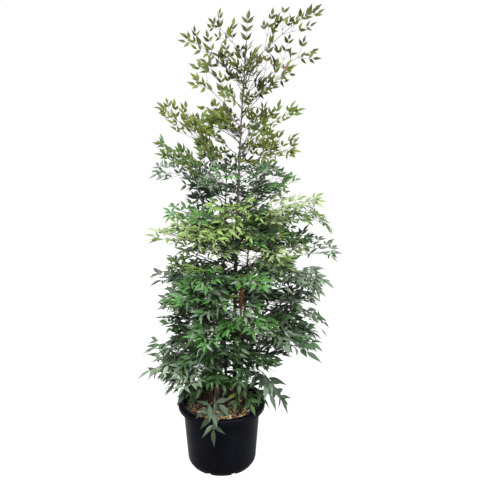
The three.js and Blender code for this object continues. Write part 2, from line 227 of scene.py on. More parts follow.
# Columns round the pot: even steps, with two close together at each side of a notch.
notch_half = degrees(NOTCH_WIDTH / 2 / POT_FOOT_EDGE)
notch_bearings = [NOTCH_FIRST_BEARING + 360 / NOTCHES * i for i in range(NOTCHES)]
bearings = sorted(
    {round(360 * i / POT_STEPS, 4) for i in range(POT_STEPS)}
    | {round((b + side * (notch_half + step)) % 360, 4)
       for b in notch_bearings for side in (-1, 1) for step in (-NOTCH_SIDE_STEP, NOTCH_SIDE_STEP)}
)


def in_notch(bearing):
    return any(abs((bearing - b + 180) % 360 - 180) < notch_half for b in notch_bearings)


def turned(profile, columns, shape):
    """A surface turned about the upright axis; `shape` gives each point's radius and height."""
    verts, faces, rings = [], [], []
    for k, (radius, height) in enumerate(profile):
        if radius == 0:
            rings.append([len(verts)])
            verts.append((0.0, 0.0, height))
            continue
        rings.append(list(range(len(verts), len(verts) + len(columns))))
        for bearing in columns:
            r, z = shape(k, radius, height, bearing)
            a = radians(bearing)
            verts.append((r * cos(a), r * sin(a), z))
    for low, high in zip(rings, rings[1:]):
        for i in range(len(columns)):
            j = (i + 1) % len(columns)
            if len(low) == 1:
                faces.append((low[0], high[j], high[i]))
            elif len(high) == 1:
                faces.append((low[i], low[j], high[0]))
            else:
                faces.append((low[i], low[j], high[j], high[i]))
    return verts, faces


def pot_shape(ring, radius, height, bearing):
    """The rings of the foot rise to the roof of each notch."""
    return radius, NOTCH_ROOF if ring in (1, 2) and in_notch(bearing) else height


pot_material, tree = new_material("black_polyethylene", 0.42, 0.02)
dust = add_patches(tree, 9.0, 0.5, 0.42, 0.72)
scuffs = add_range(tree, add_patches(tree, 130.0, 0.15, 0.56, 0.66), 0.0, 0.35)
plain = add_mix(tree, dust, paint("020204"), paint("040509"))
shade(tree, {"Base Color": add_mix(tree, scuffs, plain, paint("08090e")),
             "Roughness": add_range(tree, dust, 0.36, 0.52),
             "Normal": add_bump(tree, add_patches(tree, 420.0, 1.0, 0.3, 0.7), 0.12, 0.0006)})

pot = new_piece("nursery_pot", *turned(pot_profile, bearings, pot_shape), [pot_material], sharp=SHARP_POT)
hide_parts("pot")
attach(pot, "root")


# --------------------
# The potting mix: composted bark in flakes and chips of many browns with a few pale ones, loose
# on top of a dark moist bed that fills the pot to a little under the rim.

SOIL_RINGS = 30
SOIL_STEPS = 96
CHIP_COUNT = 3000
CHIP_LENGTH = (0.005, 0.015)
PALE_PATCH = (0.055, -0.095)
PALE_PATCH_REACH = 0.06
BED_EDGE = SOIL_HEIGHT - 0.0035
BED_CROWN = 0.0030
BED_CLEARANCE = 0.0003
chip_dice = np.random.default_rng(8)

soil_top = pot_radius(SOIL_HEIGHT) - POT_WALL - 0.0004
bed_foot = POT_FLOOR + BED_CLEARANCE


def soil_level(x, y):
    """The bed's height: higher at the middle, uneven by a few millimetres."""
    out = np.hypot(x, y) / soil_top
    ripples = 0.0016 * np.sin(x * 95 + 1.3) * np.cos(y * 83) + 0.0012 * np.sin(x * 210 + y * 160)
    return BED_EDGE + (BED_CROWN + ripples) * (1 - out ** 4)


soil_profile = [(0.0, bed_foot), (pot_radius(POT_FLOOR) - POT_WALL - BED_CLEARANCE, bed_foot)]
soil_profile += [(soil_top * (1 - i / SOIL_RINGS), BED_EDGE) for i in range(SOIL_RINGS)]
soil_profile.append((0.0, SOIL_HEIGHT - 0.0005))


def soil_shape(ring, radius, height, bearing):
    if ring < 2:
        return radius, height
    a = radians(bearing)
    return radius, float(soil_level(radius * cos(a), radius * sin(a)))


def patchy_material(name, roughness, specular, tones, spots, relief, strength, depth, over=None):
    """A material of two tones in patches, over a fine relief. Patches are given by scale, stretch
    and range; `over` is a tone in patches of its own."""
    material, tree = new_material(name, roughness, specular)
    colour = add_mix(tree, add_patches(tree, *spots), *[paint(tone) for tone in tones])
    if over:
        colour = add_mix(tree, add_patches(tree, *over[1:]), colour, paint(over[0]))
    shade(tree, {"Base Color": colour, "Normal": add_bump(tree, add_patches(tree, *relief), strength, depth)})
    return material


soil_material = patchy_material("moist_bark_bed", 0.9, 0.3, ("060403", "120c08"), (160.0, 1.0, 0.4, 0.65),
                                (260.0, 1.0, 0.35, 0.65), 0.9, 0.003)
soil_bearings = [360 * i / SOIL_STEPS for i in range(SOIL_STEPS)]
soil = new_piece("mix_bed", *turned(soil_profile, soil_bearings, soil_shape), [soil_material], sharp=60)
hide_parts("potting_mix")
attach(soil, "root")

# Chips: a lopsided flake each, lying nearly flat; the pale ones gather in one patch.
CHIP_CORNERS = np.array([(x, y, z) for z in (-1, 1) for x, y in ((-1, -1), (1, -1), (1, 1), (-1, 1))]) / 2
CHIP_FACES = [(0, 3, 2, 1), (4, 5, 6, 7), (0, 1, 5, 4), (1, 2, 6, 5), (2, 3, 7, 6), (3, 0, 4, 7)]
# Name, two tones, share of all the chips, and how much that share grows in the patch.
CHIP_KINDS = [
    ("bark_chips_dark", "0c0806", "1c120c", 0.62, -0.2),
    ("bark_chips_rust", "3c1d10", "5c301b", 0.18, 0.2),
    ("bark_chips_tan", "46341f", "645033", 0.11, 0.9),
    ("bark_chips_pale", "75623f", "a08a5c", 0.07, 3.6),
    ("pumice_bits", "736e64", "99938a", 0.03, 1.5),
]
CHIP_TILT = 0.35
chip_reach = soil_top - 0.006
usual_shares, patch_shares = (np.array([kind[i] for kind in CHIP_KINDS]) for i in (3, 4))
chips = {kind[0]: [] for kind in CHIP_KINDS}
for _ in range(CHIP_COUNT):
    out = chip_reach * sqrt(chip_dice.random())
    around = chip_dice.random() * 2 * pi
    x, y = out * cos(around), out * sin(around)
    near_patch = exp(-(hypot(x - PALE_PATCH[0], y - PALE_PATCH[1]) / PALE_PATCH_REACH) ** 2)
    shares = usual_shares * (1 + near_patch * patch_shares)
    kind = CHIP_KINDS[chip_dice.choice(len(CHIP_KINDS), p=shares / shares.sum())]
    length = lerp(*CHIP_LENGTH, chip_dice.random() ** 1.6)
    size = np.array([length, length * chip_dice.uniform(0.35, 0.8), length * chip_dice.uniform(0.15, 0.4)])
    corners = (CHIP_CORNERS + chip_dice.uniform(-0.16, 0.16, (8, 3))) * size
    turn = (Matrix.Rotation(chip_dice.uniform(0, 2 * pi), 3, "Z")
            @ Matrix.Rotation(chip_dice.normal(0, CHIP_TILT), 3, "X")
            @ Matrix.Rotation(chip_dice.normal(0, CHIP_TILT), 3, "Y"))
    lift = float(soil_level(x, y)) + size[2] * 0.4 + chip_dice.uniform(0, 0.0025)
    chips[kind[0]].append(corners @ np.array(turn).T + (x, y, lift))

for name, dark, light, *_ in CHIP_KINDS:
    material = patchy_material(name, 0.85, 0.3, (dark, light), (70.0, 1.0, 0.35, 0.65),
                               (700.0, 0.3, 0.3, 0.7), 0.5, 0.0008)
    verts = np.concatenate(chips[name])
    faces = [tuple(8 * i + c for c in face) for i in range(len(chips[name])) for face in CHIP_FACES]
    piece = new_piece(name, verts, faces, [material], sharp=25)
    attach(piece, "root")


# --------------------
# The canes: unbranched woody stems from one root, ringed where old leaves stood, the clasping
# leaf bases drying to fibres. Brown and fissured below, maroon and smooth where they are young.

CANE_TIP_SHARE = 0.3
SLENDER_FROM = 0.55
TIP_SLENDER = 0.55
FLARE_WIDTH = 0.005
FLARE_HEIGHT = 0.014
CANE_SIDES = 20
CANE_STEP = 0.0035
RIDGES = 9
RIDGE_DEPTH = 0.0003
OLD_RIDGES, YOUNG_RIDGES = 1.6, 0.5
RING_HEIGHT = 0.0011
RING_WIDTH = 0.0028
SHEATH_THICKNESS = 0.0008
JOINTS_APART = (0.032, 0.055)
JOINT_BELOW, JOINT_ABOVE = -0.012, 0.04
YOUNG_BARK_HEIGHT = 1.15
BARK_EDGE_VARIES = 0.03

# Foot on the mix, tip, how far the middle bows out, radius at the foot, height of the lowest
# spray; then each spray's bearing, reach, lift and tint. Millimetres and degrees.
CANES = [
    ("tall", (58, 5), (103, 20, 1770), (-15, 0), 9, 1000, [
        (10, 330, 70, "fresh"), (-20, 370, 150, "pale"), (-100, 230, -30, "lime"),
        (-15, 280, 120, "mid"), (30, 250, 30, "deep"), (-110, 230, 50, "mid"),
        (-30, 270, 100, "moss"), (75, 240, 110, "olive"), (-20, 260, 160, "olive"),
        (-130, 200, 80, "moss"), (205, 210, 190, "moss"), (150, 210, 190, "olive"),
        (10, 300, 180, "bronze"), (190, 240, 190, "bronze"), (-15, 290, 240, "bronze"),
        (140, 190, 150, "bronze"), (60, 20, 135, "bronze"),
    ]),
    ("left", (-8, 35), (26, 30, 1285), (0, 0), 8, 930, [
        (215, 350, 120, "pale"), (-105, 240, 0, "bright"), (190, 260, 60, "mid"),
        (105, 240, 70, "deep"), (170, 310, 110, "blue"), (195, 290, 190, "green"),
        (170, 280, 270, "moss"),
    ]),
    ("side", (-40, -15), (-72, -5, 840), (-5, 0), 7, 380, [
        (160, 230, -110, "blue"), (205, 320, 0, "sage"), (185, 280, -20, "blue"),
        (150, 250, -20, "deep"), (205, 210, 60, "blue"), (235, 230, 10, "mid"),
        (165, 250, -20, "blue"),
    ]),
    ("right", (78, 35), (120, 62, 1060), (0, 0), 8, 820, [
        (-10, 400, 140, "blue"), (-65, 290, 40, "pale"), (25, 420, -100, "fresh"),
    ]),
    ("outer", (98, -10), (186, -10, 1000), (-6, 0), 7, 400, [
        (-15, 190, -140, "slate"), (-35, 340, 10, "slate"), (10, 330, -100, "blue"),
        (-10, 310, -30, "sage"), (75, 230, 50, "deep"),
    ]),
    ("front_left", (-15, -55), (-30, -95, 880), (0, 0), 6, 430, [
        (-93, 184, -222, "slate"), (215, 180, -30, "forest"), (-100, 210, -20, "mid"),
        (-135, 210, 40, "mid"), (-95, 210, 0, "mid"),
    ]),
    ("front_right", (70, -50), (88, -95, 870), (0, 0), 6, 360, [
        (-60, 140, -50, "forest"), (-35, 210, -30, "forest"), (-75, 220, -10, "mid"),
        (-62, 210, 10, "mid"),
    ]),
    ("back", (20, 80), (0, 150, 925), (0, 0), 7, 420, [
        (60, 220, -60, "forest"), (85, 200, 20, "deep"),
    ]),
]


def unit(v):
    return v / np.linalg.norm(v)


def curve_point(curve, t):
    return curve[0] * (1 - t) ** 2 + curve[1] * 2 * t * (1 - t) + curve[2] * t * t


def curve_heading(curve, t):
    return unit((curve[1] - curve[0]) * (1 - t) + (curve[2] - curve[1]) * t)


def outward(bearing):
    """The level way that a bearing points."""
    return np.array([cos(bearing), sin(bearing), 0])


def leftward(out):
    return np.array([-out[1], out[0], 0])


def turn_about(vector, axis, degrees):
    a = radians(degrees)
    return (vector * cos(a) + np.cross(axis, vector) * sin(a)
            + axis * np.dot(axis, vector) * (1 - cos(a)))


def cane_point(name, height):
    """The middle of a cane at a height."""
    low, _, high = cane_curves[name]
    return curve_point(cane_curves[name], (height - low[2]) / (high[2] - low[2]))


cane_curves = {}
cane_sizes = {}
for name, foot, tip, bow, radius, *_ in CANES:
    low = np.array([*foot, SOIL_HEIGHT * 1000]) / 1000
    high = np.array(tip) / 1000
    cane_curves[name] = [low, (low + high) / 2 + np.array([2 * bow[0], 2 * bow[1], 0]) / 1000, high]
    cane_sizes[name] = radius / 1000


def cane_radius(name, height):
    """The cane's plain radius at a height, without its relief."""
    low, _, high = cane_curves[name]
    share = (height - low[2]) / (high[2] - low[2])
    slender = lerp(1, TIP_SLENDER, max(share - SLENDER_FROM, 0) / (1 - SLENDER_FROM))
    return (cane_sizes[name] * lerp(1, CANE_TIP_SHARE, share) * slender
            + FLARE_WIDTH * exp(-(height - low[2]) / FLARE_HEIGHT))


# Old bark: brown with grey and tan streaks up the cane. Young bark: maroon, smooth. Dry leaf
# bases: rust-coloured fibre.
old_bark = patchy_material("old_bark", 0.8, 0.35, ("1c140f", "3b2d21"), (240.0, 0.12, 0.38, 0.62),
                           (420.0, 0.1, 0.3, 0.7), 0.8, 0.0012, ("4c443a", 30.0, 0.5, 0.5, 0.7))
young_bark = patchy_material("young_bark", 0.5, 0.45, ("1c1413", "352824"), (120.0, 0.2, 0.4, 0.65),
                             (500.0, 0.1, 0.3, 0.7), 0.3, 0.0006)
leaf_base_fibre = patchy_material("leaf_base_fibre", 0.85, 0.3, ("452a1c", "a0754c"),
                                  (220.0, 0.4, 0.42, 0.6), (700.0, 0.1, 0.3, 0.7), 0.6, 0.001)


def tube_faces(start, rings, sides):
    """Faces between the rings of a tube's vertices, then a cap at each end."""
    faces = []
    end = start + (rings - 1) * sides
    for low in range(start, end, sides):
        for s in range(sides):
            n = (s + 1) % sides
            faces.append((low + n, low + s, low + sides + s, low + sides + n))
    return faces + [tuple(range(start, start + sides)), tuple(reversed(range(end, end + sides)))]


cane_dice = np.random.default_rng(21)
cane_joints = {}
for name, (low, _, high) in cane_curves.items():
    cane_joints[name] = joints = []
    height = low[2] + 0.03
    while height < high[2] - 0.01:
        joints.append((height, cane_dice.uniform(0.012, 0.03), cane_dice.uniform(0, 2 * pi)))
        height += cane_dice.uniform(*JOINTS_APART)
    steps = int((high[2] - low[2]) / CANE_STEP)
    verts = []
    phase = cane_dice.uniform(0, 2 * pi, 4)[0]
    for k in range(steps + 1):
        t = k / steps
        centre = curve_point(cane_curves[name], t)
        if k == 0:
            centre[2] -= 0.003
        plain = cane_radius(name, low[2] + (high[2] - low[2]) * t)
        for s in range(CANE_SIDES):
            a = 2 * pi * s / CANE_SIDES
            ridge = cos(RIDGES * a + 0.9 * sin(t * 40 + phase))
            r = plain + RIDGE_DEPTH * ridge * (OLD_RIDGES if centre[2] < YOUNG_BARK_HEIGHT else YOUNG_RIDGES)
            for joint, sheath, bearing in joints:
                above = centre[2] - joint
                if JOINT_BELOW < above < JOINT_ABOVE:
                    r += RING_HEIGHT * exp(-(above / RING_WIDTH) ** 2)
                    torn = sheath * (0.75 + 0.35 * cos(a - bearing) + 0.15 * sin(5 * a + bearing))
                    if 0 < above < torn:
                        r += SHEATH_THICKNESS
            verts.append((centre[0] + r * cos(a), centre[1] + r * sin(a), centre[2]))
    faces = [face[::-1] for face in tube_faces(0, steps + 1, CANE_SIDES)]
    slots = [int(verts[k * CANE_SIDES][2] > YOUNG_BARK_HEIGHT + BARK_EDGE_VARIES * sin(3 * s))
             for k in range(steps) for s in range(CANE_SIDES)]
    slots += [0, int(high[2] > YOUNG_BARK_HEIGHT)]
    cane = new_piece(f"{name}_cane_bark", verts, faces, [old_bark, young_bark], slots, sharp=50)
    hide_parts(f"{name}_cane")
    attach(cane, "root")

# Dry leaf bases: strips of fibre that stand up from the joints, thickest on the older canes.
STRIP_LENGTH = (0.012, 0.034)
STRIP_WIDTH = 0.0032
STRIP_THICKNESS = 0.0006
STRIP_RINGS = 5
STRIP_SIDES = 4
SHAGGY = [("tall", 0.86, 1.00, 9), ("left", 0.70, 0.80, 5), ("right", 0.62, 0.72, 4)]
TUFT = ("front_right", 0.725, 0.822, 170)
TUFT_LENGTH = (0.018, 0.040)
strip_verts, strip_faces = [], []


def add_strip(name, height, bearing, length, width, stands_off):
    """A tapering strip from the cane's side, its top leaning outward."""
    centre = cane_point(name, height)
    out = outward(bearing)
    side = leftward(out)
    strip_faces.extend(tube_faces(len(strip_verts), STRIP_RINGS, STRIP_SIDES))
    for k in range(STRIP_RINGS):
        share = k / (STRIP_RINGS - 1)
        middle = centre + out * (cane_radius(name, height) + STRIP_THICKNESS + stands_off * share ** 2)
        middle = middle + np.array([0, 0, length * share])
        half = width / 2 * (1 - share ** 2 * 0.85)
        thick = out * STRIP_THICKNESS
        for point in (middle - side * half, middle + thick, middle + side * half, middle - thick):
            strip_verts.append(tuple(point))


for name, joints in cane_joints.items():
    for height, _, bearing in joints:
        if height > min(cane_curves[name][2][2] - 0.05, YOUNG_BARK_HEIGHT):
            continue
        count = 2 + sum(more for cane, low_end, high_end, more in SHAGGY
                        if cane == name and low_end < height < high_end)
        for _ in range(count):
            add_strip(name, height, bearing + cane_dice.normal(0, 0.5 + 0.2 * count),
                      cane_dice.uniform(*STRIP_LENGTH), STRIP_WIDTH * cane_dice.uniform(0.6, 1.3),
                      cane_dice.uniform(0.001, 0.002 + 0.0006 * count))
name, low_end, high_end, count = TUFT
for _ in range(count):
    add_strip(name, cane_dice.uniform(low_end, high_end), cane_dice.uniform(0, 2 * pi),
              cane_dice.uniform(*TUFT_LENGTH), STRIP_WIDTH * cane_dice.uniform(1.0, 2.2),
              cane_dice.uniform(0.003, 0.017))
strips = new_piece("leaf_base_strips", strip_verts, strip_faces, [leaf_base_fibre], sharp=50)
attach(strips, "root")


# --------------------
# The foliage: compound leaves that grow straight from the canes, three times divided, each with
# a wiry stalk, opposite side stalks and lance-shaped leaflets in pairs and threes. Young leaves
# at the top are small and bronzed, the older ones below large and blue-green.

ARCH = 0.30
FLAT_ARCH = 0.18
LONG_SPRAY = 0.290
LONG_PAIRS = [(0.27, 0.42), (0.50, 0.36), (0.72, 0.26)]
LONG_FINER_PAIRS = [(0.39, 0.36), (0.61, 0.30), (0.82, 0.20)]
PAIRS = [(0.34, 0.46), (0.64, 0.36)]
FINER_PAIRS = [(0.49, 0.38), (0.78, 0.24)]
SHORT_SPRAY = 0.170
SHORT_PAIRS = [(0.30, 0.46), (0.56, 0.42)]
SPREAD_ANGLE = 46
SPREAD_VARIES = 8
REACH_VARIES = 0.12
RISE = (0.18, 0.38)
SPRAY_ROLL = 32
TOP_ROLL = 62
LEAF_ROLL = 55
PAIR_ROLL = (-5, 42)
OPEN_NARROWS = 0.92
TWIG_ROOM = 1.7
STALK_TIP = 0.0006
SEEDS_PER_CANE = 64
SEEDS = len(CANES) * SEEDS_PER_CANE

# Gaps through the crown where the canes show, in millimetres: across, height at the middle, half
# the size both ways, and the depth that a shallow one ends at.
WINDOW_FALL = 0.31
WINDOWS = [[n / 1000 for n in row] for row in (
    (112, 935, 30, 36), (80, 750, 18, 50, -85), (317, 1775, 50, 18), (-74, 1557, 58, 19),
    (-146, 1422, 70, 23), (318, 1240, 50, 38), (334, 911, 40, 30), (-245, 596, 34, 36),
    (-200, 1225, 50, 36), (215, 430, 36, 40), (385, 925, 40, 22), (222, 1272, 40, 18),
    (315, 1695, 34, 18), (-305, 471, 51, 14), (238, 457, 34, 23), (-265, 907, 53, 22),
    (355, 731, 29, 18), (413, 637, 29, 18), (240, 362, 30, 24), (359, 1208, 48, 16), (-42, 1654, 30, 19),
)]

DICE_SEED_STEP = 48271
DICE_FIRST = 11
DICE_STEP = 16807
DICE_RANGE = 2147483647

# By height: the blade's length, how open and erect the growth is, a joint leaf's reach.
HEIGHTS = [0.30, 0.60, 0.90, 1.20, 1.45, 1.80]
BLADE_LENGTHS = [0.054, 0.050, 0.045, 0.041, 0.037, 0.034]
BLADE_WIDTH_SHARES = [0.30, 0.29, 0.29, 0.31, 0.34, 0.38]
FACING_OUT = [0.5, 0.5, 0.5, 0.5, 0.4, 0.3]
FACING_LIGHT = [0.5, 0.5, 0.5, 0.6, 0.9, 1.0]
LIGHT_SIDE = (-0.35, -0.85, 0.4)
CLUMP_MIDDLE = 0.05
OPENNESS = [0.0, 0.0, 0.1, 0.35, 0.85, 1.0]
LEANS = [-0.22, -0.08, -0.02, 0.08, 0.45, 0.62]
JOINT_REACHES = [0.15, 0.21, 0.22, 0.20, 0.15, 0.12]
JOINT_STEPS = [0.022, 0.022, 0.022, 0.022, 0.024, 0.036]


def dice(seed):
    """Seeded numbers: each call gives the next, between low and high."""
    state = [(seed * DICE_SEED_STEP + DICE_FIRST) % DICE_RANGE]

    def roll(low, high):
        state[0] = state[0] * DICE_STEP % DICE_RANGE
        return low + (high - low) * state[0] / DICE_RANGE

    return roll


# Dark and light tone, the tint of odd leaflets, the darker tint inside the clump (painted shade), specular.
TINTS = {
    "bronze": ("1c1c0b", "2d2e14", "moss", "bronze", 0.05),
    "moss": ("21260b", "323814", "olive", "moss", 0.05),
    "olive": ("232a0a", "383f13", "green", "olive", 0.05),
    "green": ("212c10", "354220", "deep", "green", 0.05),
    "fresh": ("2a3717", "40502a", "mid", "mid", 0.08),
    "lime": ("34421e", "4a5c31", "fresh", "mid", 0.08),
    "bright": ("3f4c2d", "536440", "lime", "fresh", 0.08),
    "pale": ("3a442b", "545e40", "fresh", "mid", 0.15),
    "mid": ("1b3113", "2f4c25", "blue", "deep", 0.08),
    "blue": ("232c21", "3b4639", "deep", "deep", 0.15),
    "sage": ("303a2c", "495544", "blue", "blue", 0.15),
    "slate": ("1a2419", "2a3628", "blue", "deep", 0.08),
    "deep": ("172514", "283a23", "shade", "shade", 0.08),
    "forest": ("12220d", "22381a", "shade", "shade", 0.08),
    # "shade" is near-black green: painted shade for leaves deep in the crown.
    "shade": ("0c180b", "182514", "deep", "shade", 0.08),
    "russet": ("2a190d", "3a2414", "russet", "russet", 0.08),
    "yellow": ("4c5216", "62682a", "yellow", "yellow", 0.08),
}
ODD_SHADE = 0.82
# Leaflets inside the clump, low and not at the front, mostly take the darker inner tint: painted shade.
PAINTED_SHADE_SHARE = 0.7
PAINTED_SHADE_REACH = 0.13
PAINTED_SHADE_BELOW = 1.25
PAINTED_SHADE_BEHIND = -0.08
leaflets = {tint: [] for tint in TINTS}
stalks = {"stalks_maroon": [], "stalks_green": [], "stalks_dry": []}
MAROON_ABOVE = 1.18
BOX_MARGIN = 0.004
box_low = np.array(cad_box[0]) - BOX_MARGIN
box_high = np.array(cad_box[1]) + BOX_MARGIN
UP = np.array([0.0, 0.0, 1.0])


def by_height(values, height):
    return float(np.interp(height, HEIGHTS, values))


def clear_of_pot(point):
    """Whether a point is outside the pot's wall and above the mix."""
    out = hypot(point[0], point[1])
    return (point[2] > POT_HEIGHT + 0.002 or out > POT_RIM_RADIUS + 0.002
            or out < pot_radius(POT_HEIGHT) - POT_WALL - 0.003 and point[2] > SOIL_HEIGHT + 0.006)


def clear_of_canes(point, own_margin):
    for name, curve in cane_curves.items():
        t = (point[2] - curve[0][2]) / (curve[2][2] - curve[0][2])
        if -0.01 < t < 1.01:
            axis = curve_point(curve, min(max(t, 0), 1))
            if hypot(point[0] - axis[0], point[1] - axis[1]) < cane_sizes[name] + own_margin:
                return False
    return True


def in_box(point):
    return (point > box_low).all() and (point < box_high).all()


def in_window(point):
    """Whether a point is in a gap: each runs through the crown and falls away from the front."""
    for across, height, half_width, half_height, *depth in WINDOWS:
        if depth and point[1] > depth[0]:
            continue
        aside = (point[0] - across) / half_width
        if aside ** 2 + ((point[2] + WINDOW_FALL * point[1] - height) / half_height) ** 2 < 1:
            return True
    return False


def add_leaflet(tint, root, heading, upper, turn, length, roll):
    """A leaflet: its blade faces `upper`, turned about its own length."""
    width = length * by_height(BLADE_WIDTH_SHARES, root[2]) * roll(0.88, 1.10)
    droop = roll(0.15, 0.70)
    fold = roll(0.12, 0.38)
    shade = roll(0, 1)
    tip, middle = root + heading * length, root + heading * length * 0.5
    if not (clear_of_pot(tip) and clear_of_pot(middle) and in_box(tip)
            and clear_of_canes(tip, 0.001) and clear_of_canes(middle, 0.004)):
        return
    away = unit(np.array([root[0] - CLUMP_MIDDLE, root[1], 0.0]))
    facing = (unit(upper) + away * by_height(FACING_OUT, root[2]) * roll(0.4, 1.3)
              + np.array(LIGHT_SIDE) * by_height(FACING_LIGHT, root[2]) * roll(0.4, 1.3))
    normal = turn_about(unit(facing - heading * np.dot(facing, heading)), heading, turn)
    if in_window(middle):
        return
    # A leaflet inside the clump takes the spray's darker inner tint: painted shade.
    if shade > ODD_SHADE:
        tint = TINTS[tint][2]
    elif (shade < PAINTED_SHADE_SHARE and root[2] < PAINTED_SHADE_BELOW and root[1] > PAINTED_SHADE_BEHIND
          and hypot(root[0] - CLUMP_MIDDLE, root[1]) < PAINTED_SHADE_REACH):
        tint = TINTS[tint][3]
    leaflets[tint].append((root, heading, normal, length, width, droop, fold, shade))


def add_stalk(curve, end, steps, thick, thin):
    """A stalk along its curve as far as `end`, tapering."""
    places = [end * i / steps for i in range(steps + 1)]
    stalks["stalks_maroon" if curve[0][2] > MAROON_ABOVE else "stalks_green"].append(
        ([curve_point(curve, t) for t in places], [lerp(thick, thin, t / end) for t in places]))


def paired(along, upper, turn, openness, lean, roll):
    """The way that one of a pair points, turned off its stalk."""
    return unit(turn_about(along, upper, turn * lerp(1, OPEN_NARROWS, openness))
                + upper * roll(-0.15, 0.2) + lean * roll(0.3, 1))


def grow_twig(tint, root, heading, upper, reach, blade, openness, roll):
    """A side stalk with leaflets in pairs and one at its end; its lowest pairs are twigs of their
    own where there is room."""
    length = blade * roll(0.86, 1.12)
    stalk = reach - length
    if stalk < 0.30 * blade:
        add_leaflet(tint, root + heading * 0.002, heading, upper, roll(-LEAF_ROLL, LEAF_ROLL) * 0.7,
                    min(reach, length * 1.1), roll)
        return
    sag = roll(-0.02, 0.10) * reach
    curve = [root, root + heading * stalk * 0.5 + upper * sag, root + heading * stalk - upper * sag * 0.3]
    if in_window(curve[2]) or not (clear_of_pot(curve[1]) and clear_of_pot(curve[2]) and in_box(curve[2])):
        return
    add_stalk(curve, 1, 5, STALK_TIP + 0.0016 * reach, STALK_TIP)
    lean = UP * by_height(LEANS, root[2])
    end_heading = unit(curve_heading(curve, 1) + lean * roll(0.2, 1))
    add_leaflet(tint, curve[2], end_heading, upper, roll(-LEAF_ROLL, LEAF_ROLL) * 0.6, length, roll)
    step = blade * lerp(0.62, 0.92, openness)
    back = blade * lerp(0.22, 0.46, openness)
    while back < stalk * 0.9 or back < step * 0.6:
        place = max(1 - back / stalk, 0.08)
        point, along = curve_point(curve, place), curve_heading(curve, place)
        room = (1 - place) * stalk * 0.55 + blade * 0.9
        for hand in (-1, 1):
            toward = paired(along, upper, hand * roll(42, 66), openness, lean, roll)
            if room > TWIG_ROOM * blade:
                grow_twig(tint, point, toward, upper, room, blade * 0.95, openness, roll)
            else:
                add_leaflet(tint, point + toward * 0.0015, toward, upper,
                            -hand * roll(*PAIR_ROLL), blade * roll(0.78, 1.02), roll)
        if room > TWIG_ROOM * blade:
            break
        back += step


def grow_leaf(tint, foot, bearing, reach, lift, roll, finer=True, extra_roll=0.0, lost=0.0, large=1.0,
              arch=ARCH):
    """A compound leaf: its main stalk, side stalks in pairs with finer ones between, and leaflets
    to its end. `lost` is the share of low side stalks that a shaded leaf has dropped; a short
    upright one has leaflets only. Gives the main stalk's curve."""
    out = outward(radians(bearing))
    tip = foot + out * reach + UP * lift
    if not in_box(tip):
        return None
    length = hypot(reach, lift)
    curve = [foot, (foot + tip) / 2 + UP * arch * reach * (1 - lift / length), tip]
    middle = foot[2] + lift / 2
    blade = by_height(BLADE_LENGTHS, middle) * large
    openness = by_height(OPENNESS, middle)
    turned_side = turn_about(leftward(out), curve_heading(curve, 0.5),
                             (roll(-SPRAY_ROLL, SPRAY_ROLL) + extra_roll) * lerp(0.45, 1, openness)
                             + TOP_ROLL * out[0] * openness)

    def turned_at(place):
        along = curve_heading(curve, place)
        return along, unit(np.cross(along, turned_side))

    usual, between = (LONG_PAIRS, LONG_FINER_PAIRS) if length > LONG_SPRAY else (PAIRS, FINER_PAIRS)
    if length < SHORT_SPRAY:
        usual, between = SHORT_PAIRS, []
    twigs = []
    for place, share in usual + (between if finer else []):
        for hand in (-1, 1):
            angle = SPREAD_ANGLE + roll(-SPREAD_VARIES, SPREAD_VARIES)
            rise = roll(*RISE)
            twig_reach = length * share * roll(1 - REACH_VARIES, 1 + REACH_VARIES)
            twigs.append((place, hand, angle, rise, twig_reach))
            roll(-LEAF_ROLL, LEAF_ROLL)
    if length < SHORT_SPRAY and lift > 1.2 * reach:
        twigs = []
        blade *= 1.25
    end = 1 - blade * 0.95 / max(length, 1.85 * float(np.linalg.norm(curve[2] - curve[1])))
    add_stalk(curve, end, 12, 0.0016, 0.0007)
    for place, hand, angle, rise, twig_reach in twigs:
        if place > end or (place < 0.45 and roll(0, 1) < lost):
            continue
        along, upper = turned_at(place)
        toward = unit(turn_about(along, upper, hand * angle * lerp(1, OPEN_NARROWS, openness))
                      + upper * rise * (1 - openness) + UP * 0.3 * openness)
        grow_twig(tint, curve_point(curve, place), toward, upper, twig_reach, blade, openness, roll)
    along, upper = turned_at(end)
    add_leaflet(tint, curve_point(curve, end), along, upper, roll(-25, 25), blade * 0.98, roll)
    farthest = max([place for place, *_ in twigs], default=-0.05)
    step = lerp(0.60, 0.74, openness) * blade / length
    place = end - step * 0.45
    lean = UP * by_height(LEANS, middle)
    while place > farthest + step * 0.3:
        along, upper = turned_at(place)
        for hand in (-1, 1):
            toward = paired(along, upper, hand * roll(40, 60), openness, lean, roll)
            add_leaflet(tint, curve_point(curve, place), toward, upper, -hand * roll(*PAIR_ROLL),
                        blade * roll(0.82, 1.02), roll)
        place -= step
    return curve


# Each spray is its main leaf and shorter leaves from the joints next to it.
COMPANIONS = [(0.0, 8), (0.9, 4), (1.15, 3), (1.30, 1), (1.45, 0)]
SPARSE_CANES = {"right": 2, "outer": 3, "back": 3}
